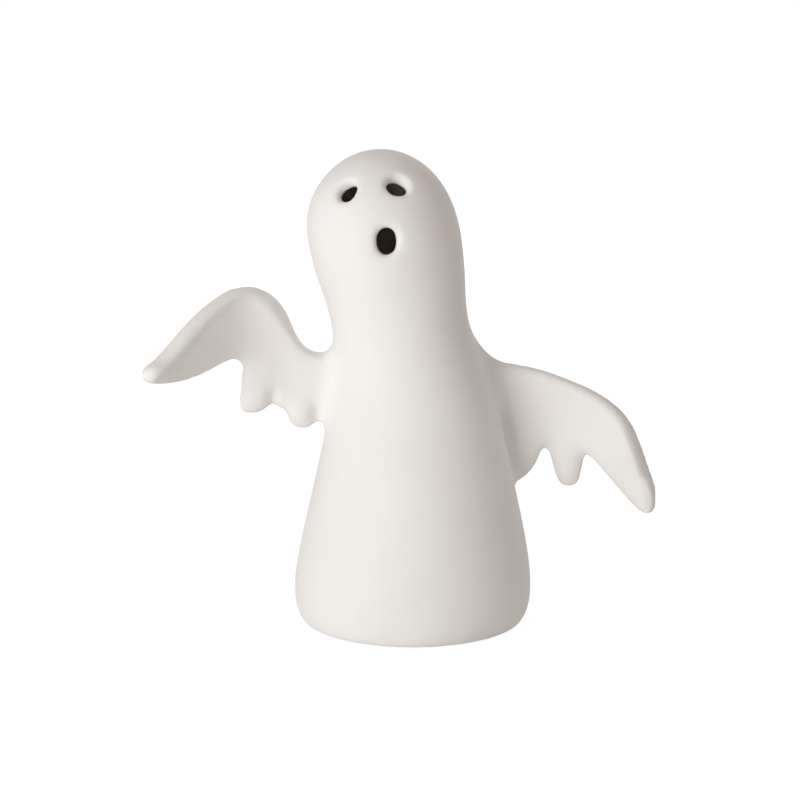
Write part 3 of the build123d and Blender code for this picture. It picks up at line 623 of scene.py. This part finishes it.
# Soft lights: name, place, width, power and colour
SOFTBOXES = (
    ("key", (-0.675, -0.864, 0.186), 0.6, 8.25, (0.93, 0.97, 1.0)),
    ("back", (0.30, 0.85, 0.62), 0.6, 1.5, (1.0, 0.96, 0.93)),
)
SOFTBOX_AIM = Vector((0, 0, 0.09))
CAMERA_LENS = 85
CAMERA_SENSOR = 36
CAMERA_TILT = radians(10)
CAMERA_AIM = Vector((-5.42, 0, 85.43)) * MM
CAMERA_DISTANCE = 0.717


def white_for_camera(tree, plain, white):
    """White to the camera, mirrors and glass, plain to all other rays."""
    path = tree.nodes.new("ShaderNodeLightPath")
    seen = path.outputs["Is Camera Ray"]
    for ray in ("Is Glossy Ray", "Is Transmission Ray"):
        seen = combined(tree, "MAXIMUM", seen, path.outputs[ray])
    return mixed(tree, seen, plain, white)


def surround():
    """White to look at, a weak warm light on the figure."""
    world = bpy.data.worlds.new("white surround")
    world.use_nodes = True
    tree = world.node_tree
    tree.nodes.clear()
    seen = tree.nodes.new("ShaderNodeBackground")
    seen.inputs["Color"].default_value = (1, 1, 1, 1)
    lit = tree.nodes.new("ShaderNodeBackground")
    lit.inputs["Color"].default_value = SURROUND_TONE
    lit.inputs["Strength"].default_value = SURROUND_STRENGTH
    sky = white_for_camera(tree, lit.outputs[0], seen.outputs[0])
    tree.links.new(sky, tree.nodes.new("ShaderNodeOutputWorld").inputs[0])
    bpy.context.scene.world = world


def white_paper():
    """Pale paper that keeps a faint shade around the figure and is clear from below."""
    paper = bpy.data.materials.new("white paper")
    paper.use_nodes = True
    tree = paper.node_tree
    tree.nodes.clear()
    matte = tree.nodes.new("ShaderNodeBsdfDiffuse")
    matte.inputs["Color"].default_value = FLOOR_TONE
    glow = tree.nodes.new("ShaderNodeEmission")
    glow.inputs["Strength"].default_value = FLOOR_GLOW
    middle = tree.nodes.new("ShaderNodeVectorMath")
    middle.operation = "LENGTH"
    tree.links.new(tree.nodes.new("ShaderNodeTexCoord").outputs["Object"], middle.inputs[0])
    shade = ranged(tree, middle.outputs["Value"], *SHADE_FADE, SHADE_SHARE, 0.0)
    shown = mixed(tree, shade, glow.outputs[0], matte.outputs[0])
    top = white_for_camera(tree, matte.outputs[0], shown)
    from_below = tree.nodes.new("ShaderNodeNewGeometry").outputs["Backfacing"]
    clear = tree.nodes.new("ShaderNodeBsdfTransparent").outputs[0]
    sheet = mixed(tree, from_below, top, clear)
    tree.links.new(sheet, tree.nodes.new("ShaderNodeOutputMaterial").inputs[0])
    return paper


def floor_sheet():
    """Wide round sheet of paper, open under the foot."""
    sheet = bmesh.new()
    for radius in (FLOOR_OPENING, FLOOR_RADIUS):
        bmesh.ops.create_circle(sheet, segments=FLOOR_SIDES, radius=radius)
    bmesh.ops.bridge_loops(sheet, edges=sheet.edges)
    bmesh.ops.reverse_faces(sheet, faces=[face for face in sheet.faces if face.normal.z < 0])
    mesh = bpy.data.meshes.new("floor")
    sheet.to_mesh(mesh)
    sheet.free()
    mesh.materials.append(white_paper())
    floor = placed("floor", mesh)


def softbox(name, place, width, power, colour):
    """Square soft light turned to the middle of the figure."""
    lamp = placed(name, bpy.data.lights.new(name, "AREA"))
    lamp.data.size = width
    lamp.data.energy = power
    lamp.data.color = colour
    lamp.location = place
    lamp.rotation_euler = (SOFTBOX_AIM - lamp.location).to_track_quat("-Z", "Y").to_euler()


def photo_camera():
    """Camera a little above the figure, looking down at its middle."""
    camera = placed("camera", bpy.data.cameras.new("camera"))
    camera.data.lens = CAMERA_LENS
    camera.data.sensor_width = CAMERA_SENSOR
    camera.location = CAMERA_AIM + CAMERA_DISTANCE * Vector((0, -cos(CAMERA_TILT), sin(CAMERA_TILT)))
    camera.rotation_euler = (pi / 2 - CAMERA_TILT, 0, 0)
    bpy.context.scene.camera = camera


def studio():
    """White surround and floor, a low soft light from the front left, a weak one behind, and the camera."""
    bpy.context.scene.view_settings.view_transform = "Standard"
    surround()
    floor_sheet()
    for light in SOFTBOXES:
        softbox(*light)
    photo_camera()


clay_skin()
dress_built_pieces()
studio()
